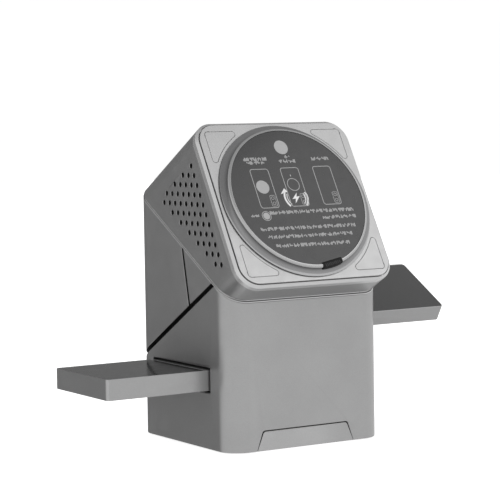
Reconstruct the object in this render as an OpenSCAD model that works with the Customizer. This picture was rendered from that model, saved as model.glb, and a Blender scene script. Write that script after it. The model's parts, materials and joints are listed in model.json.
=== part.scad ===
/* [Column] */
// Width and depth of the square column
col_w = 72; // [71:0.5:74]
// Radius of the column's four upright corners
corner_r = 9; // [8:0.5:10]
// Thickness of the column's and the head's walls
wall = 2.4; // [2.2:0.1:2.6]
// Height of the mitre plane above the table, on the column's axis
mitre_z = 80; // [79:0.5:82]
// Angle of the mitre plane from level, rising to the rear
mitre_a = 30; // [29:0.5:31]
// Thickness of the bright trim around the top of the column
trim_t = 0.8; // [0.6:0.1:1.4]
// Thickness of the rubber foot pad
foot_t = 1.2; // [1:0.1:1.6]

/* [Panels] */
// Height at which the slanted seam crosses the middle of the left side
seam_z = 50; // [49.5:0.5:51]
// Width of the slanted shadow gap
seam_gap = 1.9; // [1.4:0.1:2.2]
// Lean to the rear of the steep seam in front of the rear cover
steep_lean = 12; // [10:1:14]
// Width of the steep seam
steep_gap = 1.4; // [0.7:0.1:1.8]
// Half the width of the front hatch along its top edge
hatch_top = 19.8; // [18:0.1:20.5]
// Half the width of the front hatch along its bottom edge
hatch_bottom = 22.5; // [21:0.1:23.5]
// Height of the front hatch's top edge
hatch_z = 7.9; // [7.5:0.1:9]
// How far the front hatch sits to the right of the middle
hatch_x = -1.3; // [-2:0.1:2]

/* [Head] */
// Distance from the mitre's centre to the face, along the head's axis
head_len = 32.9; // [32.5:0.1:34]
// Width of the bevel around the face
bevel = 1.5; // [1.2:0.1:1.7]
// Diameter of a vent hole
vent_d = 2.1; // [1.6:0.1:2.3]
// Distance between neighbouring vent holes
vent_pitch = 4.33; // [4.2:0.01:4.4]

/* [Phone disc] */
// Radius of the disc's flared foot
disc_r = 33.4; // [33:0.1:33.6]
// Outer radius of the ring around the disc's top plate
ring_r = 31.2; // [31:0.1:31.6]
// Radius of the disc's top plate
label_r = 29.6; // [28.8:0.1:29.8]
// Height of the disc above the face
disc_h = 3.2; // [3:0.1:3.5]

/* [Trays] */
// How far each tray stands out of the column when it is open
tray_out = 44.7; // [42:0.1:46]
// Whole length of each tray
tray_len = 57; // [56:0.5:58]
// Width of the level tray on the left
left_w = 43.6; // [42:0.1:45]
// Thickness of the level tray
left_t = 8.2; // [8:0.1:8.6]
// Height of the level tray's top
left_z = 31.6; // [31:0.1:32]
// Width of the slanted tray on the right, measured up its slope
right_w = 32.4; // [31:0.1:33]
// Thickness of the slanted tray
right_t = 7; // [6.8:0.1:7.4]
// Depth of the slanted tray's top below the mitre plane
right_n = 18.1; // [17.8:0.1:19]
// Gap between a tray and its slot
slot_gap = 0.5; // [0.4:0.05:0.6]
// Gap that shows between a tray and the column around it
slot_mouth = 0.8; // [0.6:0.1:1]

/* [Hidden] */
$fn = 64;

// Colours
grey = [0.42, 0.42, 0.43];
silver = [0.78, 0.78, 0.79];
dark = [0.30, 0.30, 0.31];
black = [0.08, 0.08, 0.08];
copper = [0.72, 0.42, 0.22];
green = [0.10, 0.32, 0.18];
steel = [0.62, 0.63, 0.65];
brass = [0.75, 0.62, 0.32];
ferrite = [0.22, 0.22, 0.23];

// Clearances
eps = 0.01;          // overlap that keeps cuts clean
run_fit = 0.05;      // radial clearance of a shaft in its bore
body_gap = 0.3;      // smallest gap between parts that move past each other
panel_fit = 0.1;     // gap around a part that sits in a recess

// Reach of the cutting blocks, larger than the whole column
reach = 260;
half = col_w / 2;
head_depth = head_len + half;    // from the face to behind the head's rearmost point
column_h = mitre_z + half;       // from the table to above the column's highest point

// Column levels
shell_z0 = 0.4;                  // lower edge of the shell, above the table
base_t = 2.2;                    // base plate
base_top = foot_t + base_t;
boss_r = 3.4;                    // corner posts of the shell
boss_at = half - 6.2;            // corner posts, from the axis
screw_r = 1.1;
screw_head_r = 2;
screw_head_t = 1.2;
cover_right = 27;                // right end of the rear cover, across the back
hatch_r = 1.2;                   // upper corners of the front hatch
seam_y = 2;                      // the slanted seam is at seam_z here
steep_y = -4;                    // a point of the steep seam on the left side
steep_z = 66.5;
liner_t = 1.2;                   // plates behind the seams
liner_lap = 1.9;                 // how far they reach below the slanted gap
liner_z0 = 27;
liner_half = 25;                 // half the length of a liner plate, short of the posts
post_screw_l = 8;                // screws up into the posts
post_room = 1.7;                 // slanted screws cross their post's axis this far off

// Ballast and electronics of the column
ballast_w = 50;
ballast_d = 44;
ballast_t = 4;
ballast_screw_x = 21;
stand_x = 20;                    // standoffs of the main board
stand_y = 15;
board_w = 54;
board_d = 48;
board_t = 1.6;
board_z = 11;
usb_z = 13;                      // inlet: height of its axis, and its shell
usb_w = 9;
usb_h = 3.2;
usb_l = 7.4;
usb_skin = 0.3;
usb_gap = 0.3;

// Mitre joint, distances along the mitre plane's normal
deck_top = -1.6;
deck_screw_l = 4;
deck_t = 2.4;
deck_bottom = deck_top - deck_t;
head_n0 = 0.5;                   // lowest point of the head shell
floor_n = 3;                     // top of the head's floor
ring_in = 20;                    // swivel rings
ring_out = 27;
ring_recess = 0.4;               // recess for the upper ring in the head's floor
tube_r = 7;
tube_bore = 5;
tube_low = -9;
tube_flange_r = 10;
stop_at = 14.5;                  // radius of the stop pin's circle
stop_r = 1.5;
detent_at = 11.5;                // radius of the detent plungers' circle
detent_r = 2;
detent_tip = 1.2;
detent_low = -8;

// Face levels, along the head's axis from the face
bezel_t = 3.5;
bezel_in = 34.95;                // half the width of the bezel's opening
plate_half = 34.6;               // half the width of the face plate
plate_t = 1.8;
pad_in = 34.8;                   // radius of the pads' hollow side
pad_half = 31.6;                 // outer edges of the pads
pad_r = 1.2;                     // rounding of a pad's corners
pad_t = 0.4;                     // depth of the pads in the face plate
pad_gap = 0.15;
disc_low = body_gap;             // underside of the disc's flange
hub_r = 27;                      // disc's hub, which passes through the face plate
hub_low = -2.8;
hub_floor = 2;
hub_wall = 1.2;
carrier_top = -8;
carrier_t = 2;
carrier_w = 40;
spindle_r = 5;
bush_t = 1.5;
spindle_low = -12.4;
spindle_bore = 3.4;
spindle_clip_z = -11.8;
clip_t = 0.7;
fan_y = 11;                      // fan centre, up the face
fan_w = 40;
fan_top = -13.5;
fan_t = 10;
fan_hub = 8;
fan_pin = 1.5;
fan_screw_at = 16.2;
fan_blades = 7;
vent_rows = 11;                  // the first rows grow towards the back, the later ones end at the mitre
vent_first = 21.9;               // first row, up the face from its middle
vent_depth = 9.4;                // first hole of each row, behind the face

// Disc levels
ring_t = 1.1;                    // ring and top plate
flange_t = 0.6;                  // upright edge of the flared foot
ring_step = 0.15;                // ring stands this far above the top plate
coil_t = 1;
shield_t = 0.7;
magnet_t = 2.4;
magnet_in = 20.5;
magnet_w = 4.6;
magnets = 16;
magnet_space = 3;                // degrees between two magnets
coil_out = 19.8;
coil_in = 9.5;
latch_a = 11;                    // place of the latch on the rim, from straight down
latch_w = 9.6;
latch_at = 28.6;                 // latch's flat inner side, from the disc's axis

// Tray details
tray_r = 1.6;                    // corner radius in plan
tray_wall = 1.6;
inlay_t = 0.9;
inlay_rim = 0.5;                 // rim of the tray around its inlay
inlay_start = 1.4;               // inlay starts this far outside the column
tray_top_t = 2.4;                // top of the tray, inlay included
tray_floor_t = 1.2;
tray_end = 4;                    // solid inner end of the tray
tray_coil_x = 22;                // centre of a tray's coil, out of the column
tray_coil_t = 1.2;
left_coil = [15, 7];             // outer and inner radius
right_coil = [11.5, 5];
shield_rim = 1.5;                // how far a shield reaches past its coil
pin_r = 1.3;
pin_out = 1.1;                   // how far a pin stands out of the tray's side
pin_back = 3;                    // pins, from the tray's inner end
rail_wall = 1.8;
rail_lip = 2.2;                  // how far a rail laps over the tray
rail_in = 24;                    // inner end of the rails, past the column's axis
strap_x = -28;                   // strap between the rails, inside the column's side
strap_w = 6;
strap_t = 1.2;
spring_l = 20;
spring_w = 5;
spring_t = 0.5;
spring_bump = 17;                // bump on the spring, from its fixed end
left_y = 1.2;                    // middle of the level tray, to the rear of the axis
right_y = -15.1;                 // middle of the slanted tray, up the mitre's slope

// ---------------------------------------------------------------- frames

// Frame of the mitre plane: Y up its slope, Z along its normal
module at_mitre() {
    translate([0, 0, mitre_z]) rotate([mitre_a, 0, 0]) children();
}

// Frame of the face: Y up the face, Z out of it along the head's axis
module at_face() {
    translate([0, -sin(2 * mitre_a) * head_len, mitre_z + cos(2 * mitre_a) * head_len])
        rotate([2 * mitre_a, 0, 0]) children();
}

// Frames of the trays: X out of the column from its side, Z up from the tray's top
module at_left() {
    translate([-half, left_y, left_z]) mirror([1, 0, 0]) children();
}
module at_right() {
    at_mitre() translate([half, right_y, -right_n]) children();
}

// ---------------------------------------------------------------- shapes

// Square with round corners, as exact arcs
module round_rect(w, d, r) {
    square([w - 2 * r, d], center = true);
    square([w, d - 2 * r], center = true);
    for (x = [-1, 1], y = [-1, 1])
        translate([x * (w / 2 - r), y * (d / 2 - r)]) circle(r);
}

// Outline of the column and the head, moved inwards
module section(inset = 0) {
    round_rect(col_w - 2 * inset, col_w - 2 * inset, corner_r - inset);
}

module above_mitre(n) {
    at_mitre() translate([-reach / 2, -reach / 2, n]) cube(reach);
}
module below_mitre(n) {
    at_mitre() translate([-reach / 2, -reach / 2, n - reach]) cube(reach);
}

// Column from a level up to a height over the mitre plane
module column(inset, z0, n1) {
    difference() {
        translate([0, 0, z0]) linear_extrude(column_h) section(inset);
        above_mitre(n1);
    }
}

// Head from a height over the mitre plane out to a level near the face
module head(inset, z1, n0) {
    difference() {
        at_face() translate([0, 0, z1 - head_depth]) linear_extrude(head_depth) section(inset);
        below_mitre(n0);
    }
}

// Flat ring or washer standing on z = 0
module ring(r_out, r_in, t) {
    difference() {
        cylinder(r = r_out, h = t);
        translate([0, 0, -1]) cylinder(r = r_in, h = t + 2);
    }
}

// Screw pointing down from z = 0, with a socket in its head
module screw(len) {
    translate([0, 0, -len]) cylinder(r = screw_r, h = len + eps);
    difference() {
        cylinder(r = screw_head_r, h = screw_head_t);
        translate([0, 0, screw_head_t / 2]) cylinder(r = screw_r * 0.8, h = screw_head_t, $fn = 6);
    }
}

module at_corners(d) {
    for (x = [-1, 1], y = [-1, 1]) translate([x * d, y * d, 0]) children();
}

// Places of the deck's screws, which slant through the upright posts
module at_deck_screws() {
    at_mitre() for (x = [-1, 1], y = [-1, 1])
        translate([x * boss_at, (y * boss_at - post_room) / cos(mitre_a), deck_top]) children();
}

// ---------------------------------------------------------------- column panels

// Everything above the slanted seam, which falls to the rear
module above_seam(n) {
    translate([0, seam_y, seam_z]) rotate([-mitre_a, 0, 0])
        translate([-reach / 2, -reach / 2, n]) cube(reach);
}
// Everything behind the steep seam
module behind_steep(n) {
    translate([0, steep_y, steep_z]) rotate([-steep_lean, 0, 0])
        translate([-reach / 2, n, -reach / 2]) cube(reach);
}
module left_of(x) {
    translate([x - reach, -reach / 2, 0]) cube([reach, reach, reach]);
}

module column_walls() {
    difference() {
        column(0, shell_z0, -trim_t);
        column(wall, -1, 1);
    }
}

module corner_posts(grow = 0) {
    difference() {
        at_corners(boss_at) translate([0, 0, base_top]) cylinder(r = boss_r + grow, h = column_h);
        above_mitre(deck_bottom + grow);
    }
}

// Slots of both trays through the column's sides
module tray_slots() {
    slot_in = 2 * wall;
    at_left() translate([-slot_in, -left_w / 2 - slot_mouth, -left_t - slot_mouth])
        cube([2 * slot_in, left_w + 2 * slot_mouth, left_t + 2 * slot_mouth]);
    at_right() translate([-slot_in, -right_w / 2 - slot_mouth, -right_t - slot_mouth])
        cube([2 * slot_in, right_w + 2 * slot_mouth, right_t + 2 * slot_mouth]);
}

// Front hatch seen from the front, X across and Y up
module hatch_outline(grow = 0) {
    low = shell_z0 - 2 * grow;
    translate([hatch_x, 0]) hull() {
        polygon([
            [-hatch_bottom - grow, low], [hatch_bottom + grow, low],
            [hatch_top + grow, hatch_z + grow - hatch_r], [-hatch_top - grow, hatch_z + grow - hatch_r]
        ]);
        for (x = [-1, 1]) translate([x * (hatch_top + grow - hatch_r), hatch_z + grow - hatch_r])
            circle(r = hatch_r, $fn = 16);
    }
}

// Round-ended bar of the inlet, pointing to the rear
module usb_bar(w, h, l) {
    rotate([-90, 0, 0]) linear_extrude(l) {
        square([w - h, h], center = true);
        for (x = [-1, 1]) translate([x * (w - h) / 2, 0]) circle(d = h);
    }
}

module foot_pad() {
    color(black) linear_extrude(foot_t) section(2.8);
}

module base_plate() {
    color(dark) difference() {
        translate([0, 0, foot_t]) linear_extrude(base_t) section(wall + panel_fit);
        at_corners(boss_at) {
            translate([0, 0, -1]) cylinder(r = screw_r + panel_fit, h = base_top + 2);
            translate([0, 0, foot_t - eps])
                cylinder(r = screw_head_r + panel_fit, h = screw_head_t + panel_fit);
        }
    }
}

module base_screws() {
    color(steel) at_corners(boss_at)
        translate([0, 0, foot_t + screw_head_t]) mirror([0, 0, 1]) screw(post_screw_l);
}

module at_standoffs(z) {
    for (x = [-1, 1], y = [-1, 1]) translate([x * stand_x, y * stand_y, z]) children();
}

module ballast_plate() {
    hole_r = 1.6;
    stand_hole_r = 2.4;
    color(steel) difference() {
        translate([0, 0, base_top]) linear_extrude(ballast_t) round_rect(ballast_w, ballast_d, ballast_t);
        for (x = [-1, 1]) translate([x * ballast_screw_x, 0, 0]) cylinder(r = hole_r, h = 10);
        at_standoffs(0) cylinder(r = stand_hole_r, h = 10);
    }
}

module lower_shell() {
    color(grey) difference() {
        union() {
            difference() {
                column_walls();
                intersection() {
                    above_seam(-seam_gap / 2);
                    left_of(cover_right + steep_gap);
                }
            }
            corner_posts();
        }
        tray_slots();
        translate([0, -half + wall + 1, 0]) rotate([90, 0, 0])
            linear_extrude(2 * wall) hatch_outline(0.35);
        translate([0, half - 2 * wall, usb_z]) usb_bar(usb_w + 2 * usb_gap, usb_h + 2 * usb_gap, 4 * wall);
        at_corners(boss_at) cylinder(r = screw_r, h = base_top + post_screw_l);
        deck_screw_holes();
    }
}

module rear_cover() {
    color(grey) difference() {
        intersection() {
            column_walls();
            above_seam(seam_gap / 2);
            behind_steep(steep_gap / 2);
            left_of(cover_right);
        }
        corner_posts(panel_fit);
        tray_slots();
    }
}

module side_gusset() {
    color(grey) difference() {
        intersection() {
            column_walls();
            above_seam(seam_gap / 2);
            left_of(-half + wall + eps);
        }
        behind_steep(-steep_gap / 2);
    }
}

// Dark plates behind the seams: one behind the left side, one behind the back
module seam_liner() {
    color(black) difference() {
        intersection() {
            union() {
                translate([-half + wall + panel_fit, -liner_half, liner_z0])
                    cube([liner_t, 2 * liner_half, reach]);
                translate([-liner_half, half - wall - panel_fit - liner_t, liner_z0])
                    cube([liner_half + cover_right + steep_gap, liner_t, reach]);
            }
            column(wall + panel_fit, 0, 0);
            above_seam(-seam_gap / 2 - liner_lap);
            below_mitre(deck_bottom - panel_fit);
        }
        corner_posts(panel_fit);
    }
}

module mitre_trim() {
    edge = 0.5;
    color(silver) difference() {
        union() {
            column(0, 0, -trim_t / 2);
            column(edge, 0, 0);
        }
        below_mitre(-trim_t);
        column(wall + 1, -1, 1);
    }
}

// Hatch plate flush with the front, on a wider flange inside
module front_hatch() {
    flange_t = 1;
    flange_lap = 2;
    flange_h = 6;
    color(grey) translate([0, -half + wall, 0]) rotate([90, 0, 0]) {
        linear_extrude(wall) hatch_outline();
        translate([hatch_x - hatch_top - flange_lap, base_top + panel_fit, -flange_t - panel_fit])
            linear_extrude(flange_t) square([2 * (hatch_top + flange_lap), flange_h]);
        translate([hatch_x - hatch_top + flange_lap, base_top + panel_fit, -flange_t])
            linear_extrude(flange_t + eps) square([2 * (hatch_top - flange_lap), hatch_z - base_top - 1]);
    }
}

// ---------------------------------------------------------------- mitre joint

module deck_screw_holes() {
    depth = screw_head_t + deck_screw_l + body_gap;
    at_deck_screws() translate([0, 0, -depth]) cylinder(r = screw_r, h = depth + 1);
}

module deck_plate() {
    color(black) difference() {
        column(wall + panel_fit, 0, deck_top);
        below_mitre(deck_bottom);
        at_mitre() {
            translate([0, 0, -10]) cylinder(r = tube_r + run_fit, h = 20);
            translate([stop_at, 0, -10]) cylinder(r = stop_r, h = 20);
            for (y = [-1, 1]) translate([0, y * detent_at, -10]) cylinder(r = detent_r, h = 20);
        }
        deck_screw_holes();
        at_deck_screws() translate([0, 0, -screw_head_t]) cylinder(r = screw_head_r + panel_fit, h = 4);
    }
}

module deck_screws() {
    color(steel) at_deck_screws() translate([0, 0, -screw_head_t]) screw(deck_screw_l);
}

module lower_swivel_ring() {
    color(steel) at_mitre() translate([0, 0, deck_top]) ring(ring_out, ring_in, -deck_top - 0.05);
}

module swivel_stop_pin() {
    color(steel) at_mitre() translate([stop_at, 0, deck_bottom]) cylinder(r = stop_r, h = 5.6);
}

module detent_plungers() {
    barrel = -1 - detent_low;
    color(brass) at_mitre() for (y = [-1, 1]) translate([0, y * detent_at, detent_low]) {
        cylinder(r = detent_r, h = barrel);
        translate([0, 0, barrel]) sphere(r = detent_tip);
    }
}

module upper_swivel_ring() {
    color([0.85, 0.85, 0.82]) at_mitre()
        translate([0, 0, 0.25]) ring(ring_out, ring_in, head_n0 + ring_recess - 0.25);
}

// Hollow axle with a flange on the head's floor and a groove for its clip
module swivel_tube() {
    groove_low = deck_bottom - 1.8;
    color(steel) at_mitre() difference() {
        union() {
            translate([0, 0, tube_low]) cylinder(r = tube_r, h = floor_n + 3 - tube_low);
            translate([0, 0, floor_n]) cylinder(r = tube_flange_r, h = 1.2);
        }
        translate([0, 0, tube_low - 1]) cylinder(r = tube_bore, h = 20);
        translate([0, 0, groove_low]) ring(tube_r + 1, tube_r - 0.8, 1);
    }
}

module swivel_washer() {
    color(brass) at_mitre() translate([0, 0, deck_bottom - 0.8]) ring(9.5, tube_r + 0.2, 0.5);
}

module swivel_clip() {
    color(steel) at_mitre() translate([0, 0, deck_bottom - 1.75]) difference() {
        ring(9.2, tube_r - 0.75, 0.9);
        translate([-1.5, -20, -1]) cube([3, 20, 3]);
    }
}

// ---------------------------------------------------------------- electronics of the column

module main_board() {
    color(green) difference() {
        translate([0, 0, board_z]) linear_extrude(board_t) round_rect(board_w, board_d, 3);
        at_standoffs(0) cylinder(r = 1, h = 20);
    }
}

// Parts of a circuit board, standing on it
module chip(x, y, w, d, h) {
    translate([x, y, 0]) cube([w, d, h]);
}
module can(x, y, r, h) {
    translate([x, y, 0]) cylinder(r = r, h = h);
}

module board_parts() {
    cap_r = 3.6;
    resistor_step = 2.6;
    color(dark) translate([0, 0, board_z + board_t]) {
        chip(x = -12, y = -4, w = 7, d = 7, h = 1);
        chip(x = 6, y = 2, w = 5, d = 5, h = 0.9);
        chip(x = -22, y = 6, w = 4, d = 6, h = 1.2);
        chip(x = 14, y = 10, w = 9, d = 4, h = 4.5);
        for (i = [0:3]) chip(x = 13 + resistor_step * i, y = -16, w = 1.6, d = 3, h = 1);
        for (side = [-1, 1]) can(x = side * 2.5 * cap_r, y = -14, r = cap_r, h = 4);
        can(x = -24, y = -14, r = 2.5, h = 6);
    }
}

module board_standoffs() {
    color(brass) at_standoffs(base_top) cylinder(r = 2.2, h = board_z - base_top, $fn = 6);
}

// Metal shell of the inlet with its tongue
module usb_inlet() {
    tongue_w = 6.6;
    tongue_t = 0.7;
    color(steel) translate([0, half - usb_l - usb_gap, usb_z]) difference() {
        usb_bar(usb_w, usb_h, usb_l);
        translate([0, 1, 0]) usb_bar(usb_w - 2 * usb_skin, usb_h - 2 * usb_skin, usb_l);
    }
    color(black) translate([-tongue_w / 2, half - usb_l, usb_z - tongue_t / 2])
        cube([tongue_w, usb_l - 1.6, tongue_t]);
}

// ---------------------------------------------------------------- trays

// Guide rails in a tray's own frame, joined to the column's side and to each other by a strap
module tray_rails(w, t) {
    over = slot_gap + rail_wall;
    rail_x0 = -half - rail_in;
    rail_l = half + rail_in - wall;
    pin_slot_end = tray_out - tray_len + pin_back + pin_r + body_gap;
    for (y = [-1, 1]) difference() {
        translate([rail_x0, y > 0 ? w / 2 - rail_lip : -w / 2 - over, -t - over])
            cube([rail_l, rail_lip + over, t + 2 * over]);
        translate([rail_x0 - 1, -w / 2 - slot_gap, -t - slot_gap])
            cube([rail_l + 2, w + 2 * slot_gap, t + 2 * slot_gap]);
        translate([rail_x0 - 1, -w / 2 - pin_out - body_gap, -t / 2 - pin_r - body_gap])
            cube([pin_slot_end - rail_x0 + 1, w + 2 * (pin_out + body_gap), 2 * (pin_r + body_gap)]);
    }
    translate([strap_x, -w / 2 - over, -t - over - strap_t]) cube([strap_w, w + 2 * over, strap_t + eps]);
}

// Leaf spring on the rails' strap, with a raised bump under the tray
module detent_spring(t) {
    color(steel) translate([strap_x, -spring_w / 2, -t - slot_gap - rail_wall + eps]) {
        cube([spring_l, spring_w, spring_t]);
        translate([spring_bump, 0, spring_t / 2]) rotate([-90, 0, 0]) cylinder(r = 1.5, h = spring_w);
    }
}

// Outline of a tray between two distances out of the column's side
module tray_plan(w, x0, x1, inset) {
    smallest_r = 0.4;
    translate([(x0 + x1) / 2, 0])
        round_rect(x1 - x0 - 2 * inset, w - 2 * inset, max(tray_r - inset, smallest_r));
}

module tray_shell(w, t) {
    x0 = tray_out - tray_len;
    color(grey) difference() {
        translate([0, 0, -t]) linear_extrude(t) tray_plan(w, x0, tray_out, 0);
        translate([0, 0, -inlay_t]) linear_extrude(inlay_t + 1)
            tray_plan(w, inlay_start - inlay_rim, tray_out, inlay_rim);
        translate([0, 0, -t - 1]) linear_extrude(t + 1 - tray_top_t)
            tray_plan(w, x0 + tray_end, tray_out, tray_wall);
        translate([x0 + pin_back, 0, -t / 2]) rotate([90, 0, 0])
            cylinder(r = pin_r, h = w + 2, center = true);
    }
}

module tray_inlay(w) {
    color(dark) translate([0, 0, -inlay_t]) linear_extrude(inlay_t - 0.1)
        tray_plan(w, inlay_start - inlay_rim, tray_out, inlay_rim + panel_fit);
}

module tray_cover(w, t) {
    color(dark) translate([0, 0, -t]) linear_extrude(tray_floor_t)
        tray_plan(w, tray_out - tray_len + tray_end, tray_out, tray_wall + panel_fit);
}

module tray_coil(radii) {
    color(copper) translate([tray_coil_x, 0, -tray_top_t - tray_coil_t - panel_fit])
        ring(radii[0], radii[1], tray_coil_t);
}

module tray_shield(radii) {
    color(ferrite) translate([tray_coil_x, 0, -tray_top_t - tray_coil_t - shield_t - 2 * panel_fit])
        cylinder(r = radii[0] + shield_rim, h = shield_t);
}

module tray_pins(w, t) {
    pin_l = 6;
    color(steel) translate([tray_out - tray_len + pin_back, 0, -t / 2]) rotate([90, 0, 0])
        for (s = [-1, 1]) translate([0, 0, s * (w / 2 + pin_out - pin_l / 2)])
            cylinder(r = pin_r, h = pin_l, center = true);
}

// ---------------------------------------------------------------- head

module head_vents() {
    step = vent_pitch * sin(2 * mitre_a);
    at_face() for (row = [0:vent_rows - 1], i = [0:min(2 * row, vent_rows - row)])
        translate([-col_w, vent_first + (i / 2 - row) * vent_pitch, -vent_depth - i * step])
            rotate([0, 90, 0]) cylinder(d = vent_d, h = 2 * col_w, $fn = 16);
}

module head_shell() {
    recess_r = ring_out + 0.2;
    post_l = 20;
    color(grey) difference() {
        head(0, -bezel_t, head_n0);
        difference() {
            head(wall, 1, floor_n);
            at_face() at_corners(boss_at) translate([0, 0, -bezel_t - post_l])
                cylinder(r = boss_r, h = post_l);
        }
        head_vents();
        at_mitre() {
            translate([0, 0, -1]) cylinder(r = recess_r, h = 1 + head_n0 + ring_recess);
            translate([0, 0, -5]) cylinder(r = tube_r, h = 20);
            rotate([0, 0, -190]) rotate_extrude(angle = 200)
                translate([stop_at - stop_r - body_gap, 0]) square([2 * (stop_r + body_gap), 8]);
            for (a = [0, 90, 180, 270]) rotate([0, 0, a])
                translate([0, detent_at, 0]) cylinder(r = 1.6, h = 1.8);
        }
        at_face() at_corners(boss_at) translate([0, 0, -bezel_t - 6]) cylinder(r = screw_r, h = 10);
    }
}

module face_bezel() {
    color(silver) at_face() difference() {
        union() {
            translate([0, 0, -bezel_t]) linear_extrude(bezel_t - bevel) section();
            hull() {
                translate([0, 0, -bevel - eps]) linear_extrude(eps) section();
                translate([0, 0, -eps]) linear_extrude(eps) section(bevel);
            }
        }
        translate([0, 0, -plate_t]) linear_extrude(10)
            round_rect(2 * bezel_in, 2 * bezel_in, corner_r - half + bezel_in);
        translate([0, 0, -10]) linear_extrude(20) round_rect(2 * half - 10, 2 * half - 10, 4);
        at_corners(boss_at) translate([0, 0, -10]) cylinder(r = screw_r + panel_fit, h = 20);
    }
}

module face_plate() {
    color(silver) at_face() difference() {
        translate([0, 0, -plate_t]) linear_extrude(plate_t)
            round_rect(2 * plate_half, 2 * plate_half, corner_r - half + plate_half);
        translate([0, 0, -10]) cylinder(r = hub_r + body_gap, h = 20);
        at_corners(boss_at) {
            translate([0, 0, -10]) cylinder(r = screw_r + panel_fit, h = 20);
            translate([0, 0, -pad_t - screw_head_t]) cylinder(r = screw_head_r + panel_fit, h = 5);
        }
        at_pads() linear_extrude(2 * pad_t) pad_outline(pad_gap);
    }
}

module face_screws() {
    color(steel) at_face() at_corners(boss_at) translate([0, 0, -pad_t - screw_head_t]) screw(7);
}

// Three-cornered pad in each corner of the face, hollow towards the disc
module pad_outline(grow = 0) {
    offset(pad_r + grow) offset(-pad_r) difference() {
        square(pad_half);
        circle(pad_in);
    }
}

module at_pads() {
    for (a = [0:90:270]) rotate([0, 0, a]) translate([0, 0, -pad_t]) children();
}

module corner_pads() {
    color(silver) at_face() at_pads() linear_extrude(pad_t) pad_outline();
}

// Plate inside the head that carries the disc's spindle
module disc_carrier() {
    collar_r = 9;
    collar_h = 0.8;
    color(dark) at_face() translate([0, 0, carrier_top - carrier_t]) difference() {
        union() {
            linear_extrude(carrier_t) round_rect(2 * (half - wall - panel_fit), carrier_w, carrier_t);
            cylinder(r = collar_r, h = carrier_t + collar_h);
        }
        translate([0, 0, -1]) cylinder(r = spindle_r + bush_t, h = 10);
    }
}

module disc_bush() {
    proud_low = 0.4;
    proud_top = 1;
    color(brass) at_face() translate([0, 0, carrier_top - carrier_t - proud_low])
        ring(spindle_r + bush_t, spindle_r + run_fit, proud_low + carrier_t + proud_top);
}

module fan_frame() {
    strut_w = 3;
    strut_t = 1.4;
    duct_wall = 1.3;
    color(black) at_face() translate([0, fan_y, fan_top - fan_t]) difference() {
        union() {
            difference() {
                linear_extrude(fan_t) round_rect(fan_w, fan_w, 3);
                translate([0, 0, -1]) cylinder(r = fan_w / 2 - duct_wall, h = fan_t + 2);
            }
            cylinder(r = fan_hub, h = strut_t);
            for (a = [0, 90]) rotate([0, 0, a]) translate([-fan_w / 2 + 0.5, -strut_w / 2, 0])
                cube([fan_w - 1, strut_w, strut_t]);
            cylinder(r = fan_pin, h = 7);
        }
        at_corners(fan_screw_at) translate([0, 0, -1]) cylinder(r = 1.6, h = fan_t + 2);
    }
}

// Rotor cup with slanted blades, hollow underneath around its boss
module fan_rotor() {
    cup_h = 7.6;
    boss = 3.4;
    pitch = 35;
    blade = [10.2, 8, 1];
    color(dark) at_face() translate([0, fan_y, fan_top - fan_t + 1.8]) difference() {
        union() {
            cylinder(r = fan_hub, h = cup_h);
            for (i = [0:fan_blades - 1]) rotate([0, 0, i * 360 / fan_blades])
                translate([fan_hub - 1, 0, cup_h / 2]) rotate([pitch, 0, 0])
                    translate([0, -blade[1] / 2, -blade[2] / 2]) cube(blade);
        }
        translate([0, 0, -1]) cylinder(r = fan_pin + run_fit, h = cup_h - 1);
        translate([0, 0, -1]) ring(fan_hub - 1, boss, cup_h / 2);
    }
}

module fan_screws() {
    color(steel) at_face() translate([0, fan_y, fan_top]) at_corners(fan_screw_at) screw(fan_t + 2);
}

module head_board() {
    board = [30, 13, 1.2];
    color(green) at_face() translate([0, -27, -12.6]) {
        chip(x = -board[0] / 2, y = 0, w = board[0], d = board[1], h = board[2]);
        translate([0, 0, board[2]]) {
            chip(x = -9, y = 3, w = 6, d = 6, h = 0.9);
            chip(x = 3, y = 4, w = 4, d = 4, h = 0.9);
        }
    }
}

// ---------------------------------------------------------------- phone disc

// Flat on the rim that the latch fills
module latch_block(grow = 0) {
    rotate([0, 0, latch_a]) translate([-latch_w / 2 - grow, -disc_r - 1, disc_low + flange_t - grow])
        cube([latch_w + 2 * grow, disc_r + 1 - latch_at + grow, disc_h]);
}

// Flared rim and hollow hub of the disc
module disc_housing() {
    seat = disc_h - ring_t;
    color(dark) at_face() difference() {
        union() {
            rotate_extrude($fn = 96) polygon([
                [0, disc_low],
                [disc_r, disc_low],
                [disc_r, disc_low + flange_t],
                [ring_r, seat],
                [0, seat]
            ]);
            translate([0, 0, hub_low]) cylinder(r = hub_r, h = disc_low - hub_low + eps);
        }
        translate([0, 0, hub_low + hub_floor]) cylinder(r = hub_r - hub_wall, h = 20);
        translate([0, 0, hub_low - 1]) cylinder(r = spindle_r, h = 10);
        latch_block(panel_fit);
    }
}

module disc_ring() {
    color(silver) at_face() difference() {
        translate([0, 0, disc_h - ring_t]) ring(ring_r, label_r + panel_fit, ring_t);
        latch_block(panel_fit);
    }
}

module disc_plate() {
    color(dark) at_face() difference() {
        translate([0, 0, disc_h - ring_t]) cylinder(r = label_r, h = ring_t - ring_step);
        latch_block(panel_fit);
    }
}

module disc_latch() {
    color(black) at_face() intersection() {
        latch_block();
        cylinder(r = ring_r - 0.1, h = disc_h - ring_step);
    }
}

module magnet_ring() {
    color(steel) at_face() for (i = [0:magnets - 1]) rotate([0, 0, i * 360 / magnets])
        rotate_extrude(angle = 360 / magnets - magnet_space)
            translate([magnet_in, disc_h - ring_t - magnet_t - panel_fit]) square([magnet_w, magnet_t]);
}

module phone_coil() {
    color(copper) at_face() translate([0, 0, disc_h - ring_t - coil_t - panel_fit])
        ring(coil_out, coil_in, coil_t);
}

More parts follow.
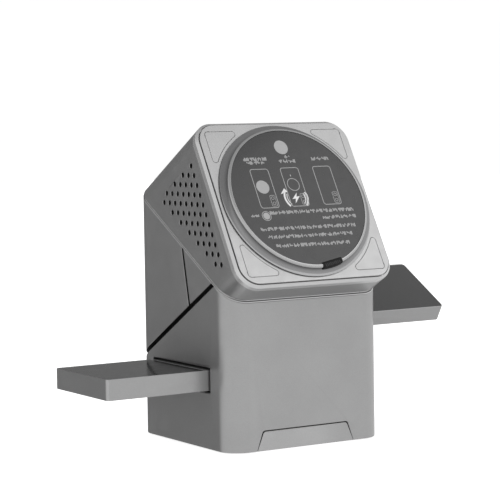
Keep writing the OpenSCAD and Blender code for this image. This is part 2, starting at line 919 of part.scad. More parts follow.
module coil_shield() {
    color(ferrite) at_face() translate([0, 0, disc_h - ring_t - coil_t - shield_t - 2 * panel_fit])
        cylinder(r = coil_out, h = shield_t);
}

// Hollow spindle with a flange on the hub's floor and a groove for its clip
module disc_spindle() {
    floor_z = hub_low + hub_floor;
    flange_r = 8;
    spindle_flange_t = 0.6;
    groove = 0.6;
    color(steel) at_face() difference() {
        union() {
            translate([0, 0, spindle_low]) cylinder(r = spindle_r, h = floor_z - spindle_low + eps);
            translate([0, 0, floor_z]) cylinder(r = flange_r, h = spindle_flange_t);
        }
        translate([0, 0, -20]) cylinder(r = spindle_bore, h = 30);
        translate([0, 0, spindle_clip_z]) ring(spindle_r + 1, spindle_r - groove, clip_t + panel_fit);
    }
}

module spindle_clip() {
    mouth = 2.4;
    rim = 2.6;
    color(steel) at_face() translate([0, 0, spindle_clip_z + panel_fit / 2]) difference() {
        ring(spindle_r + rim, spindle_r - 0.55, clip_t);
        translate([-mouth / 2, -20, -1]) cube([mouth, 20, 3]);
    }
}

// ---------------------------------------------------------------- nodes

foot_pad();
base_plate();
base_screws();
ballast_plate();
lower_shell();
rear_cover();
side_gusset();
seam_liner();
mitre_trim();
front_hatch();
deck_plate();
deck_screws();
lower_swivel_ring();
swivel_stop_pin();
detent_plungers();
main_board();
board_parts();
board_standoffs();
usb_inlet();
color(dark) at_left() tray_rails(left_w, left_t);  // left_rails
color(dark) at_right() tray_rails(right_w, right_t);  // right_rails
at_left() detent_spring(left_t);  // left_detent_spring
at_right() detent_spring(right_t);  // right_detent_spring
head_shell();
face_bezel();
face_plate();
corner_pads();
face_screws();
upper_swivel_ring();
swivel_tube();
swivel_washer();
swivel_clip();
disc_carrier();
disc_bush();
fan_frame();
fan_rotor();
fan_screws();
head_board();
disc_housing();
disc_ring();
disc_plate();
disc_latch();
magnet_ring();
phone_coil();
coil_shield();
disc_spindle();
spindle_clip();
at_left() tray_shell(left_w, left_t);  // left_tray_shell
at_left() tray_inlay(left_w);  // left_tray_inlay
at_left() tray_coil(left_coil);  // left_tray_coil
at_left() tray_shield(left_coil);  // left_tray_shield
at_left() tray_cover(left_w, left_t);  // left_tray_cover
at_left() tray_pins(left_w, left_t);  // left_tray_pins
at_right() tray_shell(right_w, right_t);  // right_tray_shell
at_right() tray_inlay(right_w);  // right_tray_inlay
at_right() tray_coil(right_coil);  // right_tray_coil
at_right() tray_shield(right_coil);  // right_tray_shield
at_right() tray_cover(right_w, right_t);  // right_tray_cover
at_right() tray_pins(right_w, right_t);  // right_tray_pins
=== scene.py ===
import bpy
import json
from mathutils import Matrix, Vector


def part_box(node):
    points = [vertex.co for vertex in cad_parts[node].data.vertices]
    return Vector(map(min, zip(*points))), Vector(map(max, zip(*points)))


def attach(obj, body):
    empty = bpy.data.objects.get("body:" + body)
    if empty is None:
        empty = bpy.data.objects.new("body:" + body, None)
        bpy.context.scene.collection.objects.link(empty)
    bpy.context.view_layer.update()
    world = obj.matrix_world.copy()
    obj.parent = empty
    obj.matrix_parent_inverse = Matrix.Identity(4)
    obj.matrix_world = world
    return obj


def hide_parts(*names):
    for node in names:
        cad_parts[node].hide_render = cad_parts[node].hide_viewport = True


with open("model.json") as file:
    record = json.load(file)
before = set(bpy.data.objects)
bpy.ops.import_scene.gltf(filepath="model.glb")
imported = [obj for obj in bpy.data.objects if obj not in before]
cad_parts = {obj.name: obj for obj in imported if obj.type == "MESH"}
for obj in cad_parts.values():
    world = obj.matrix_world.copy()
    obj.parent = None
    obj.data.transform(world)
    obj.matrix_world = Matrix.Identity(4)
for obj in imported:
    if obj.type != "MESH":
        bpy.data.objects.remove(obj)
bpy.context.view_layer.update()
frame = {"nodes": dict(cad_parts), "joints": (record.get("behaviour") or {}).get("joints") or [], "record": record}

import json
import math
import random

import bmesh
import bpy
from mathutils import Matrix, Vector

MM = 0.001
scene = bpy.context.scene
record = frame["record"]
slot_of = {part["node"]: part["material_slot"] for part in record["subparts"]}
body_of = {name: body for body, names in record["behaviour"]["bodies"].items() for name in names}
joints = {joint["name"]: joint for joint in frame["joints"]}

# ---------------------------------------------------------------- camera

CAMERA_AT = Vector((-0.4254, -0.6758, 0.1332))
CAMERA_AIM = Vector((-0.0026, 0.0014, 0.0755))
CAMERA_ROLL = math.radians(-0.88)
CAMERA_LENS = 142.2
SENSOR = 36


def add_camera():
    forward = (CAMERA_AIM - CAMERA_AT).normalized()
    level = forward.cross(Vector((0, 0, 1))).normalized()
    upright = level.cross(forward)
    right = level * math.cos(CAMERA_ROLL) + upright * math.sin(CAMERA_ROLL)
    up = right.cross(forward)
    data = bpy.data.cameras.new("camera")
    data.sensor_width = SENSOR
    data.lens = CAMERA_LENS
    data.clip_start = 0.01
    data.clip_end = 20
    camera = bpy.data.objects.new("camera", data)
    scene.collection.objects.link(camera)
    turn = Matrix((right, up, -forward)).transposed().to_4x4()
    camera.matrix_world = Matrix.Translation(CAMERA_AT) @ turn
    scene.camera = camera


add_camera()

# ---------------------------------------------------------------- node helpers

X_AXIS = Vector((1, 0, 0))
SECTION = 72
CORNER = 9
# Near-black colour and depth ranges for painted shade inside the shells' outline, where the seams and gaps lie.
PAINTED_SEAM_SHADE = (0.008, 0.008, 0.008)
COAT_METAL = 0.85
SHELL_SEAM_SHADE_DEPTH = (0.00012, 0.0003)
TRIM_SEAM_SHADE_DEPTH = (0.0006, 0.0009)
# Heights above the face over which the disc rim's painted shade darkens towards the ring.
PAINTED_SHADE_HEIGHTS = (0.0008, 0.0021)
WIRE = 0.0006


class Shader:
    """A material's node tree around one Principled shader."""

    def __init__(self, name, colour, roughness, metallic=0.0, **sockets):
        self.material = bpy.data.materials.new(name)
        self.material.use_nodes = True
        self.tree = self.material.node_tree
        self.bsdf = self.tree.nodes["Principled BSDF"]
        self.set("Base Color", (*colour, 1))
        self.set("Roughness", roughness)
        self.set("Metallic", metallic)
        for socket, value in sockets.items():
            self.set(socket.replace("_", " "), value)
        self.place = self.add("ShaderNodeTexCoord").outputs["Object"]

    def set(self, socket, value):
        self.bsdf.inputs[socket].default_value = value

    def add(self, kind, **inputs):
        made = self.tree.nodes.new(kind)
        for socket, value in inputs.items():
            self.feed(made.inputs[socket.replace("_", " ")], value)
        return made

    def feed(self, socket, value):
        if isinstance(value, bpy.types.NodeSocket):
            self.tree.links.new(value, socket)
        else:
            socket.default_value = value

    def noise(self, size, detail=2.0, stretch=(1, 1, 1)):
        """Noise whose features are about this many metres across."""
        spread = self.add("ShaderNodeMapping", Vector=self.place, Scale=stretch)
        made = self.add("ShaderNodeTexNoise", Vector=spread.outputs[0], Scale=1 / size, Detail=detail)
        return made.outputs["Fac"]

    def cells(self, size):
        return self.add("ShaderNodeTexVoronoi", Vector=self.place, Scale=1 / size).outputs["Color"]

    def remap(self, value, low, high, start=0.0, end=1.0):
        made = self.add("ShaderNodeMapRange", Value=value, From_Min=start, From_Max=end,
                        To_Min=low, To_Max=high)
        return made.outputs[0]

    def math(self, operation, a, b=0.0):
        made = self.tree.nodes.new("ShaderNodeMath")
        made.operation = operation
        self.feed(made.inputs[0], a)
        self.feed(made.inputs[1], b)
        return made.outputs[0]

    def vector(self, operation, a, b=(0, 0, 0), output=0):
        made = self.tree.nodes.new("ShaderNodeVectorMath")
        made.operation = operation
        self.feed(made.inputs[0], a)
        self.feed(made.inputs[1], b)
        return made.outputs[output]

    def along(self, origin, axis):
        """How far the point lies from an origin along an axis, in metres."""
        return self.vector("DOT_PRODUCT", self.vector("SUBTRACT", self.place, origin), axis, "Value")

    def mix(self, factor, a, b):
        made = self.tree.nodes.new("ShaderNodeMix")
        made.data_type = "RGBA"
        self.feed(made.inputs["Factor"], factor)
        self.feed(made.inputs["A"], a)
        self.feed(made.inputs["B"], b)
        return made.outputs["Result"]

    def tint(self, colour, factor):
        """The colour, made lighter or darker by a factor that varies."""
        made = self.tree.nodes.new("ShaderNodeVectorMath")
        made.operation = "SCALE"
        made.inputs[0].default_value = colour
        self.feed(made.inputs["Scale"], factor)
        return made.outputs[0]

    def colour(self, value):
        self.feed(self.bsdf.inputs["Base Color"], value)

    def roughness(self, value):
        self.feed(self.bsdf.inputs["Roughness"], value)

    def bump(self, height, depth, strength=1.0):
        """Bump whose height runs over this many metres."""
        made = self.add("ShaderNodeBump", Height=height, Distance=depth, Strength=strength)
        self.feed(self.bsdf.inputs["Normal"], made.outputs[0])


class Plane:
    """A frame lying on a flat surface: x across, y up, z out of it, in millimetres."""

    def __init__(self, origin, out, x=X_AXIS):
        self.origin = origin
        self.x = x.normalized()
        self.z = out.normalized()
        self.y = self.z.cross(self.x)

    def at(self, x, y, z=0.0):
        return self.origin + (self.x * x + self.y * y + self.z * z) * MM


def edge_wear(shader, amount):
    """Lightens the edges, where handling polishes a coat."""
    point = shader.add("ShaderNodeNewGeometry").outputs["Pointiness"]
    return shader.remap(point, 1.0, 1.0 + amount, 0.52, 0.62)


def skin_depth(shader, plane):
    """How far the point lies inside the square section's rounded outline, in metres."""
    flat = (SECTION / 2 - CORNER) * MM
    across = [shader.math("SUBTRACT", shader.math("ABSOLUTE", shader.along(plane.origin, axis)), flat)
              for axis in (plane.x, plane.y)]
    squares = [shader.math("POWER", shader.math("MAXIMUM", value, 0.0), 2.0) for value in across]
    reached = shader.math("POWER", shader.math("ADD", *squares), 0.5)
    return shader.math("SUBTRACT", CORNER * MM, reached)


def satin_paint(name, colour, roughness, section=None):
    """Metallic coat: fine flakes in a satin lacquer. Given a section, it turns near black inside that outline:
    painted shade in the seams and gaps between panels.
    """
    made = Shader(name, colour, roughness, COAT_METAL, Specular_IOR_Level=0.5,
                  Coat_Weight=0.06, Coat_Roughness=0.25)
    flakes = made.remap(made.cells(0.00016), 0.94, 1.06)
    cloud = made.remap(made.noise(0.02, 3), 0.975, 1.025, 0.35, 0.65)
    shade = made.math("MULTIPLY", made.math("MULTIPLY", flakes, cloud), edge_wear(made, 0.2))
    coat = made.tint(colour, shade)
    rough = made.remap(made.noise(0.006, 4), roughness - 0.04, roughness + 0.04, 0.3, 0.7)
    if section:
        # Painted shade: near black, and no longer metallic, inside the outline, so the seams read dark.
        painted_seam_shade = made.remap(skin_depth(made, section), 0.0, 1.0, *SHELL_SEAM_SHADE_DEPTH)
        coat = made.mix(painted_seam_shade, coat, (*PAINTED_SEAM_SHADE, 1))
        made.feed(made.bsdf.inputs["Metallic"], made.remap(painted_seam_shade, COAT_METAL, 0.0))
        rough = made.math("MAXIMUM", rough, made.math("MULTIPLY", painted_seam_shade, 0.6))
    made.colour(coat)
    made.roughness(rough)
    made.bump(made.noise(0.00025, 3), 0.00001, 0.5)
    return made.material


def satin_aluminium(name, colour, roughness, section=None):
    """Bead-blasted and anodised aluminium. Given a section, it is dark inside that outline: painted shade in the
    seams and gaps.
    """
    made = Shader(name, colour, roughness, COAT_METAL, Specular_IOR_Level=0.5)
    cloud = made.remap(made.noise(0.015, 3), 0.98, 1.02, 0.35, 0.65)
    grain = made.remap(made.noise(0.0002, 2), 0.96, 1.04, 0.3, 0.7)
    shade = made.tint(colour, made.math("MULTIPLY", cloud, grain))
    if section:
        # Painted shade: near black inside the outline, so the seams read dark.
        painted_seam_shade = made.remap(skin_depth(made, section), 0.0, 1.0, *TRIM_SEAM_SHADE_DEPTH)
        shade = made.mix(painted_seam_shade, shade, (*PAINTED_SEAM_SHADE, 1))
    made.colour(shade)
    made.roughness(made.remap(made.noise(0.004, 3), roughness - 0.03, roughness + 0.05, 0.3, 0.7))
    made.bump(made.noise(0.00022, 2), 0.00001, 0.5)
    return made.material


def gloss(name, colour, roughness, metallic=0.0):
    """Smooth moulded or lacquered surface with a faint orange peel."""
    made = Shader(name, colour, roughness, metallic, Coat_Weight=0.25, Coat_Roughness=0.06)
    cloud = made.remap(made.noise(0.012, 3), 0.96, 1.04, 0.35, 0.65)
    made.colour(made.tint(colour, cloud))
    made.roughness(made.remap(made.noise(0.003, 4), roughness * 0.8, roughness * 1.25, 0.3, 0.7))
    made.bump(made.noise(0.0016, 2), 0.000006, 0.4)
    return made.material


def chrome_with_painted_shade(name, colour, roughness):
    """Dark chrome, darkest close under the disc's ring: painted shade."""
    made = Shader(name, colour, roughness, 0.95, Coat_Weight=0.25, Coat_Roughness=0.06)
    # Painted shade: the colour darkens with height towards the ring.
    painted_ring_shade = made.remap(made.along(FACE, OUT), 1.35, 0.2, *PAINTED_SHADE_HEIGHTS)
    cloud = made.remap(made.noise(0.012, 3), 0.96, 1.04, 0.35, 0.65)
    made.colour(made.tint(colour, made.math("MULTIPLY", painted_ring_shade, cloud)))
    made.roughness(made.remap(made.noise(0.003, 4), roughness * 0.8, roughness * 1.25, 0.3, 0.7))
    return made.material


def moulded(name, colour, roughness, **sockets):
    """Matt moulded plastic or rubber with a spark-eroded grain."""
    made = Shader(name, colour, roughness, **sockets)
    grain = made.noise(0.0004, 4)
    made.colour(made.tint(colour, made.remap(grain, 0.85, 1.15, 0.3, 0.7)))
    made.roughness(made.remap(made.noise(0.002, 3), roughness - 0.06, roughness + 0.06, 0.3, 0.7))
    made.bump(grain, 0.00004, 0.6)
    return made.material


def turned_metal(name, colour, roughness, size=0.00025):
    """Machined metal with fine tool marks and a few dull patches."""
    made = Shader(name, colour, roughness, 1.0)
    marks = made.noise(size, 3, (1, 1, 6))
    made.colour(made.tint(colour, made.remap(made.noise(0.004, 4), 0.88, 1.06, 0.3, 0.7)))
    made.roughness(made.remap(marks, roughness - 0.06, roughness + 0.1, 0.3, 0.7))
    made.bump(marks, 0.00001, 0.5)
    return made.material


def solder_mask(name, colour):
    """Circuit board with its copper tracks showing faintly under the mask."""
    made = Shader(name, colour, 0.3, 0.0, Coat_Weight=0.3, Coat_Roughness=0.15)
    wave = made.add("ShaderNodeTexWave", Vector=made.place, Scale=260.0, Distortion=6.0, Detail=0.0)
    tracks = made.remap(wave.outputs["Fac"], 0.8, 1.6, 0.62, 0.7)
    made.colour(made.tint(colour, tracks))
    made.bump(tracks, 0.00003, 0.5)
    return made.material


def winding(name, colour, centre, axis):
    """Enamelled wire wound round an axis, one turn beside the next."""
    made = Shader(name, colour, 0.25, 0.9, Coat_Weight=0.5, Coat_Roughness=0.1)
    across = made.vector("CROSS_PRODUCT", made.vector("SUBTRACT", made.place, centre), axis)
    radius = made.vector("LENGTH", across, output="Value")
    turns = made.math("MULTIPLY", radius, 2 * math.pi / WIRE)
    ridge = made.remap(made.math("SINE", turns), 0, 1, -1, 1)
    # Painted shade: the colour darkens in the grooves between turns.
    made.colour(made.tint(colour, made.remap(ridge, 0.45, 1.1)))
    made.bump(ridge, 0.0002)
    return made.material


def colour_of(slot):
    return tuple(next(m["base_color"] for m in record["materials"] if m["slot"] == slot)[:3])


FACE = Vector(joints["disc_spin"]["pos_m"])
OUT = Vector(joints["disc_spin"]["axis"]).normalized()
MITRE_OUT = Vector(joints["head_swivel"]["axis"]).normalized()

face = Plane(FACE, OUT)
column = Plane(Vector((0, 0, 0)), Vector((0, 0, 1)))


def middle(node):
    low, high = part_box(node)
    return (low + high) / 2


COAT = (0.34, 0.34, 0.341)
finishes = {
    "grey_shell": satin_paint("grey_satin_coat", COAT, 0.34),
    "silver_face": satin_aluminium("satin_aluminium", (0.5, 0.5, 0.501), 0.34),
    "disc_rim": chrome_with_painted_shade("dark_chrome_coat", (0.19, 0.19, 0.192), 0.12),
    "disc_top": gloss("dark_printed_film", (0.026, 0.026, 0.0265), 0.24),
    "tray_top": gloss("dark_gloss_tray", (0.014, 0.014, 0.0142), 0.16),
    "dark_plastic": moulded("black_moulded_plastic", (0.016, 0.016, 0.0165), 0.5),
    "foot_rubber": moulded("black_rubber", (0.012, 0.012, 0.012), 0.8),
    "steel_parts": turned_metal("turned_steel", colour_of("steel_parts"), 0.28),
    "brass_parts": turned_metal("turned_brass", colour_of("brass_parts"), 0.25),
    "circuit_board": solder_mask("solder_mask", colour_of("circuit_board")),
    "bearing_plastic": moulded("white_acetal", colour_of("bearing_plastic"), 0.4),
    "shield_ferrite": moulded("grey_ferrite", (0.09, 0.09, 0.092), 0.6),
}
column_coat = satin_paint("column_satin_coat", COAT, 0.34, column)
special = {
    "lower_shell": column_coat,
    "rear_cover": column_coat,
    "side_gusset": column_coat,
    "head_shell": satin_paint("head_satin_coat", COAT, 0.34, face),
    # The trim's light colour is partly its own aluminium and partly a painted highlight along the mitre's edge.
    "mitre_trim": satin_aluminium("trim_aluminium_with_painted_highlight", (0.52, 0.52, 0.521), 0.3, column),
    "face_bezel": satin_aluminium("bezel_aluminium", (0.58, 0.58, 0.581), 0.34),
    "disc_latch": moulded("black_latch", (0.004, 0.004, 0.0041), 0.45, Specular_IOR_Level=0.2),
    "disc_ring": satin_aluminium("bright_ring", (0.42, 0.42, 0.421), 0.2),
}
copper = colour_of("coil_copper")
coils = {
    "phone_coil": winding("phone_coil_wire", copper, FACE, OUT),
    "left_tray_coil": winding("left_coil_wire", copper, middle("left_tray_coil"), Vector((0, 0, 1))),
    "right_tray_coil": winding("right_coil_wire", copper, middle("right_tray_coil"), MITRE_OUT),
}


def finish_of(node):
    return coils.get(node) or special.get(node) or finishes[slot_of[node]]


for name, obj in frame["nodes"].items():
    obj.data.materials.clear()
    obj.data.materials.append(finish_of(name))

# ---------------------------------------------------------------- mesh helpers


def piece(name, mesh, material, body, slot, *nodes):
    """Adds a finished mesh as a piece that rides on a body and stands for these nodes."""
    obj = bpy.data.objects.new(name, mesh)
    scene.collection.objects.link(obj)
    mesh.materials.clear()
    mesh.materials.append(material)
    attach(obj, body)
    if nodes:
        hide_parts(*nodes)
    return obj


def smooth(mesh, angle=30):
    mesh.shade_smooth()
    mesh.set_sharp_from_angle(angle=math.radians(angle))


def add_bevel(obj, width, segments=2, angle=28):
    bevel = obj.modifiers.new("edge", "BEVEL")
    bevel.width = width * MM
    bevel.segments = segments
    bevel.limit_method = "ANGLE"
    bevel.angle_limit = math.radians(angle)
    bevel.use_clamp_overlap = False
    bevel.miter_outer = "MITER_ARC"
    even = obj.modifiers.new("even", "WEIGHTED_NORMAL")
    even.keep_sharp = True


def softened(node, width, segments=2):
    """The node's own shape with its edges rounded, in place of the sharp CAD solid."""
    bm = bmesh.new()
    bm.from_mesh(frame["nodes"][node].data)
    bmesh.ops.remove_doubles(bm, verts=bm.verts, dist=0.002 * MM)
    bmesh.ops.dissolve_limit(bm, angle_limit=math.radians(0.6), verts=bm.verts, edges=bm.edges)
    mesh = bpy.data.meshes.new(node + "_soft")
    bm.to_mesh(mesh)
    bm.free()
    mesh.shade_smooth()
    mesh.set_sharp_from_angle(angle=math.radians(60))
    obj = piece(node + "_soft", mesh, finish_of(node), body_of[node], slot_of[node], node)
    add_bevel(obj, width, segments)
    return obj


def lathe(name, plane, profile, start=0, stop=360, steps=160):
    """Turns a closed outline of (radius, height) round a plane's z, between two angles in degrees."""
    bm = bmesh.new()
    rings = []
    whole = stop - start == 360
    for step in range(steps if whole else steps + 1):
        turn = math.radians(start + (stop - start) * step / steps)
        rings.append([bm.verts.new(plane.at(r * math.cos(turn), r * math.sin(turn), z)) for r, z in profile])
    count = len(profile)
    for step in range(steps):
        here, there = rings[step], rings[(step + 1) % len(rings)]
        for i in range(count):
            j = (i + 1) % count
            bm.faces.new((here[i], there[i], there[j], here[j]))
    if not whole:
        bm.faces.new(rings[0])
        bm.faces.new(rings[-1][::-1])
    bmesh.ops.recalc_face_normals(bm, faces=bm.faces)
    mesh = bpy.data.meshes.new(name)
    bm.to_mesh(mesh)
    bm.free()
    smooth(mesh)
    return mesh


def arc(cx, cy, r, start, end, steps):
    """Points along an arc, from one angle to another in degrees."""
    turns = [math.radians(start + (end - start) * i / steps) for i in range(steps + 1)]
    return [(cx + r * math.cos(t), cy + r * math.sin(t)) for t in turns]


# ---------------------------------------------------------------- shells and panels

for node, width in {
    "lower_shell": 0.25,
    "rear_cover": 0.12,
    "side_gusset": 0.12,
    "front_hatch": 0.15,
    "mitre_trim": 0.12,
    "head_shell": 0.12,
    "face_bezel": 0.12,
    "face_plate": 0.1,
    "corner_pads": 0.08,
    "left_tray_shell": 0.2,
    "right_tray_shell": 0.2,
    "left_tray_inlay": 0.12,
    "right_tray_inlay": 0.12,
    "disc_plate": 0.08,
    "disc_latch": 0.12,
    "foot_pad": 0.3,
    "usb_inlet": 0.06,
}.items():
    softened(node, width)

# ---------------------------------------------------------------- phone disc's rim

DISC_FOOT = 33.4
DISC_TOP = 30.3
FOOT_LOW = 0.3
FOOT_EDGE = 0.25
SEAT = 2.1
LIP = 2.45
HUB = 27.0
HUB_LOW = -2.8
HUB_INSIDE = 25.8
HUB_FLOOR = -0.8
SPINDLE = 5.0
RING_INSIDE = 29.7
RING_OUTSIDE = 30.8
RING_TOP = 3.2
RING_GAP_START = -88.5
RING_GAP_STOP = -69.5


def skirt(steps=14):
    """Hollow flare from under the ring down to the foot."""
    points = []
    for i in range(steps + 1):
        share = i / steps
        turn = share * math.pi / 2
        r = DISC_FOOT - (DISC_FOOT - DISC_TOP) * math.cos(turn)
        z = FOOT_LOW + FOOT_EDGE + (LIP - FOOT_LOW - FOOT_EDGE) * (1 - math.sin(turn))
        points.append((r, z))
    return points


def disc_rim():
    profile = [(HUB_INSIDE, SEAT), (RING_INSIDE, SEAT), (RING_INSIDE, LIP)] + skirt()
    profile += [(DISC_FOOT, FOOT_LOW + 0.08), (DISC_FOOT - 0.1, FOOT_LOW)]
    profile += [(HUB, FOOT_LOW), (HUB, HUB_LOW + 0.2), (HUB - 0.2, HUB_LOW), (SPINDLE, HUB_LOW)]
    profile += [(SPINDLE, HUB_FLOOR), (HUB_INSIDE, HUB_FLOOR)]
    return piece("disc_rim_flared", lathe("disc_rim_flared", face, profile), finishes["disc_rim"], "disc",
                 "disc_rim", "disc_housing")


def disc_ring():
    """Quarter-round bright ring, open where the latch lies."""
    crest = [(RING_INSIDE + (RING_OUTSIDE - RING_INSIDE) * x, LIP + (RING_TOP - LIP) * y)
             for x, y in arc(0, 0, 1, 0, 90, 10)]
    profile = [(RING_INSIDE, LIP)] + crest
    mesh = lathe("disc_ring_round", face, profile, RING_GAP_STOP, RING_GAP_START + 360)
    return piece("disc_ring_round", mesh, finish_of("disc_ring"), "disc", slot_of["disc_ring"], "disc_ring")


disc_rim()
disc_ring()

# ---------------------------------------------------------------- printed label

PRINT_LOW = 3.04
PRINT_HIGH = 3.08
STROKE = 0.27
LETTER = 0.4
LETTER_PITCH = 0.52
WORD_GAP = 0.45
ROW_HEIGHT = 1.5


class Print:
    """Thin closed shapes standing on the disc's top, in the face's millimetres."""

    def __init__(self, name, colour):
        self.name = name
        self.ink = gloss(name, colour, 0.4)
        self.bm = bmesh.new()

    def band(self, outer, inner):
        """Closed strip between two outlines that have as many points."""
        section = ((outer, PRINT_LOW), (outer, PRINT_HIGH), (inner, PRINT_HIGH), (inner, PRINT_LOW))
        loops = [[self.bm.verts.new(face.at(x, y, z)) for x, y in points] for points, z in section]
        count = len(outer)
        for here, there in zip(loops, loops[1:] + loops[:1]):
            for i in range(count):
                j = (i + 1) % count
                self.bm.faces.new((here[i], here[j], there[j], there[i]))

    def solid(self, points):
        low, high = ([self.bm.verts.new(face.at(x, y, z)) for x, y in points]
                     for z in (PRINT_LOW, PRINT_HIGH))
        count = len(points)
        self.bm.faces.new(high)
        self.bm.faces.new(low[::-1])
        for i in range(count):
            j = (i + 1) % count
            self.bm.faces.new((low[i], low[j], high[j], high[i]))

    def bar(self, x0, y0, x1, y1):
        self.solid([(x0, y0), (x1, y0), (x1, y1), (x0, y1)])

    def frame(self, x0, y0, x1, y1, r, stroke=STROKE):
        inner = rounded(x0 + stroke, y0 + stroke, x1 - stroke, y1 - stroke, r - stroke)
        self.band(rounded(x0, y0, x1, y1, r), inner)

    def dot(self, x, y, r):
        self.solid(arc(x, y, r, 0, 360, 32)[:-1])

    def hoop(self, x, y, r, stroke=STROKE):
        self.band(arc(x, y, r, 0, 360, 40)[:-1], arc(x, y, r - stroke, 0, 360, 40)[:-1])

    def row(self, x0, x1, y, height=ROW_HEIGHT):
        """Line of fine strokes in groups, which stands for a line of print."""
        x = x0
        while x < x1:
            for _ in range(draw.randint(3, 7)):
                if x + LETTER > x1:
                    break
                foot = draw.choice((0, 0, 0.25, 0.45)) * height
                head = draw.choice((1, 1, 0.8, 0.6)) * height
                self.bar(x, y + min(foot, head - 0.5), x + LETTER, y + head)
                x += LETTER_PITCH
            x += WORD_GAP

    def done(self):
        bmesh.ops.recalc_face_normals(self.bm, faces=self.bm.faces)
        mesh = bpy.data.meshes.new(self.name)
        self.bm.to_mesh(mesh)
        self.bm.free()
        return piece(self.name, mesh, self.ink, "disc", "silver_face")


def rounded(x0, y0, x1, y1, r):
    corners = ((x1 - r, y0 + r, -90), (x1 - r, y1 - r, 0), (x0 + r, y1 - r, 90), (x0 + r, y0 + r, 180))
    return [point for x, y, start in corners for point in arc(x, y, r, start, start + 90, 5)]


draw = random.Random(7)


PHONES = ((-18.8, -4.4), (-4.7, -4.2), (10.6, -4.0))
PHONE_SIZE = (8.6, 17.3)
LENS_PANEL = (5.4, 0.7, 7.9, 5.6)
LENS = (6.65, 2.0, 2.3, 0.7)
FINE = 0.18
MARK = (-1.3, -0.2)
CAPTIONS = ((-20, -9.4, 16.5), (-19, -10.2, 14.9), (-0.8, 1.8, 17.2), (-3.9, 3.9, 15.2), (11.6, 20.2, 15.9))
NOTES = ((-15.6, 24.2, -7.2), (8.0, 24.0, -10.2), (-22.0, 22.4, -14.1), (-19.8, 19.7, -17.6),
         (-17.4, 16.8, -21.5))


def add_print():
    """Generic label, printed head down: three phones, a charging mark and rows of fine print."""
    grey = Print("label_grey_print", (0.37, 0.37, 0.372))
    for left, low in PHONES:
        grey.frame(left, low, left + PHONE_SIZE[0], low + PHONE_SIZE[1], 1.2)
        x0, y0, x1, y1 = LENS_PANEL
        grey.frame(left + x0, low + y0, left + x1, low + y1, 0.6, FINE)
        x, y, pitch, r = LENS
        for lens in range(2):
            grey.hoop(left + x, low + y + pitch * lens, r, FINE)
    grey.dot(-0.9, 22.2, 3.1)
    grey.dot(-15.1, 4.9, 2.9)
    grey.hoop(-0.7, 5.5, 2.8, 0.26)
    grey.bar(-0.9, 9.1, -0.5, 9.9)
    grey.dot(-17.5, -7.7, 1.5)
    grey.hoop(-17.5, -7.7, 2.1)
    for x0, x1, y in CAPTIONS + NOTES:
        grey.row(x0, x1, y)
    grey.row(-24.4, -20.0, -7.9, 1.0)
    grey.done()
    bright = Print("label_bright_print", (0.74, 0.74, 0.742))
    bolt = [(0.9, 2.1), (-2.0, -0.7), (-0.4, -0.5), (-1.1, -2.6), (1.8, 0.5), (0.2, 0.3)]
    bright.solid([(x + MARK[0], y + MARK[1]) for x, y in bolt])
    for start, stop in ((155, 225), (-45, 25)):
        for r, stroke in ((5.6, 0.8), (4.3, 0.35)):
            bright.solid(arc(*MARK, r, start, stop, 14) + arc(*MARK, r - stroke, stop, start, 14))
    tip = arc(*MARK, 5.2, 155, 155, 1)[0]
    bright.solid([(tip[0] - 1.9, tip[1] - 0.5), (tip[0] + 1.6, tip[1] + 0.4), (tip[0] + 0.4, tip[1] + 2.0)])
    bright.done()


add_print()

# ---------------------------------------------------------------- disc latch's grip ribs

LATCH_TURN = 11
LATCH_AT = 30.0
RIBS = 9
RIB_PITCH = 0.85
RIB_HALF = 0.16
RIB_FOOT = 0.05
RIB_RISE = 0.06


def add_latch_ribs():
    """Fine raised ribs across the latch, for a fingernail."""
    bm = bmesh.new()
    turn = math.radians(LATCH_TURN)
    out = Vector((math.sin(turn), -math.cos(turn)))
    side = Vector((math.cos(turn), math.sin(turn)))
    top = face_height("disc_latch")
    for i in range(RIBS):
        centre = out * LATCH_AT + side * (i - RIBS // 2) * RIB_PITCH
        length = 1.2 if i % 3 else 1.6
        ring = [centre + side * a * RIB_HALF + out * b * length / 2
                for a, b in ((-1, -1), (1, -1), (1, 1), (-1, 1))]
        crest = [(centre.x + (q.x - centre.x) * 0.7, centre.y + (q.y - centre.y) * 0.85) for q in ring]
        low = [bm.verts.new(face.at(q.x, q.y, top - RIB_FOOT)) for q in ring]
        high = [bm.verts.new(face.at(x, y, top + RIB_RISE)) for x, y in crest]
        bm.faces.new(high)
        bm.faces.new(low[::-1])
        for j in range(4):
            k = (j + 1) % 4
            bm.faces.new((low[j], low[k], high[k], high[j]))
    bmesh.ops.recalc_face_normals(bm, faces=bm.faces)
    mesh = bpy.data.meshes.new("latch_ribs")
    bm.to_mesh(mesh)
    bm.free()
    piece("latch_ribs", mesh, moulded("grey_latch_ribs", (0.04, 0.04, 0.041), 0.4), "disc", "dark_plastic")


def face_height(node):
    """Highest point of a node above the face, in millimetres."""
    return max((vert.co - FACE).dot(OUT) for vert in frame["nodes"][node].data.vertices) / MM


add_latch_ribs()

# ---------------------------------------------------------------- floor and lights

FLOOR_REACH = 3.0
FLOOR_GLOW = 0.8
BACKDROP_RADIUS = 2.9
REAR = (0.4, 0.8, 1.0, 0.23)
BELOW = (-0.5, -0.12, 0.8, 1.0)
ABOVE = (0.62, 0.78, 1.0, 0.58)
KEY_AT = (0.3, -0.36, 0.42)
KEY_SIZE = (0.26, 0.26)
KEY_POWER = 0.15


def add_floor():
    mesh = bpy.data.meshes.new("floor")
    bm = bmesh.new()
    bmesh.ops.create_grid(bm, x_segments=2, y_segments=2, size=FLOOR_REACH)
    bm.to_mesh(mesh)
    bm.free()
    floor = bpy.data.objects.new("floor", mesh)
    scene.collection.objects.link(floor)
    pale = Shader("pale_floor", (0.92, 0.92, 0.92), 0.7)
    pale.set("Emission Color", (1, 1, 1, 1))
    pale.set("Emission Strength", FLOOR_GLOW)
    mesh.materials.append(pale.material)
    floor.visible_glossy = False


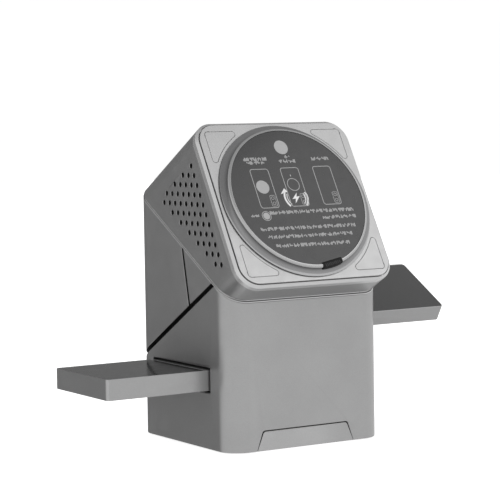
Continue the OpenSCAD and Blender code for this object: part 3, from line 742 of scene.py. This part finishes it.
def add_world():
    """Studio round the object: pale in front and at the sides, dimmer behind and overhead."""
    world = bpy.data.worlds.new("studio")
    scene.world = world
    world.use_nodes = True
    tree = world.node_tree
    nodes, links = tree.nodes, tree.links
    spot = nodes.new("ShaderNodeTexCoord")
    parts = nodes.new("ShaderNodeSeparateXYZ")
    links.new(spot.outputs["Generated"], parts.inputs[0])

    def step(output, start, end, low, high):
        made = nodes.new("ShaderNodeMapRange")
        made.interpolation_type = "SMOOTHSTEP"
        links.new(output, made.inputs["Value"])
        for name, value in (("From Min", start), ("From Max", end), ("To Min", low), ("To Max", high)):
            made.inputs[name].default_value = value
        return made.outputs[0]

    strength = step(parts.outputs["Y"], *REAR)
    below = step(parts.outputs["Z"], *BELOW)
    above = step(parts.outputs["Z"], *ABOVE)
    for factor in (below, above):
        product = nodes.new("ShaderNodeMath")
        product.operation = "MULTIPLY"
        links.new(strength, product.inputs[0])
        links.new(factor, product.inputs[1])
        strength = product.outputs[0]
    background = nodes["Background"]
    links.new(strength, background.inputs["Strength"])
    background.inputs["Color"].default_value = (1, 1, 1, 1)


def add_backdrop():
    """White surround that only the camera sees."""
    mesh = bpy.data.meshes.new("backdrop")
    bm = bmesh.new()
    bmesh.ops.create_icosphere(bm, subdivisions=4, radius=BACKDROP_RADIUS)
    bm.to_mesh(mesh)
    bm.free()
    backdrop = bpy.data.objects.new("backdrop", mesh)
    scene.collection.objects.link(backdrop)
    white = Shader("white_backdrop", (0, 0, 0), 1.0)
    white.set("Emission Color", (1, 1, 1, 1))
    white.set("Emission Strength", 1.0)
    mesh.materials.append(white.material)
    backdrop.visible_diffuse = False
    backdrop.visible_glossy = False
    backdrop.visible_transmission = False
    backdrop.visible_shadow = False


def add_softbox(name, at, size, power):
    data = bpy.data.lights.new(name, "AREA")
    data.shape = "RECTANGLE"
    data.size, data.size_y = size
    data.energy = power
    lamp = bpy.data.objects.new(name, data)
    lamp.location = at
    lamp.rotation_mode = "QUATERNION"
    lamp.rotation_quaternion = (CAMERA_AIM - Vector(at)).to_track_quat("-Z", "Y")
    scene.collection.objects.link(lamp)


add_floor()
add_backdrop()
add_world()
add_softbox("key", KEY_AT, KEY_SIZE, KEY_POWER)
scene.view_settings.view_transform = "Standard"
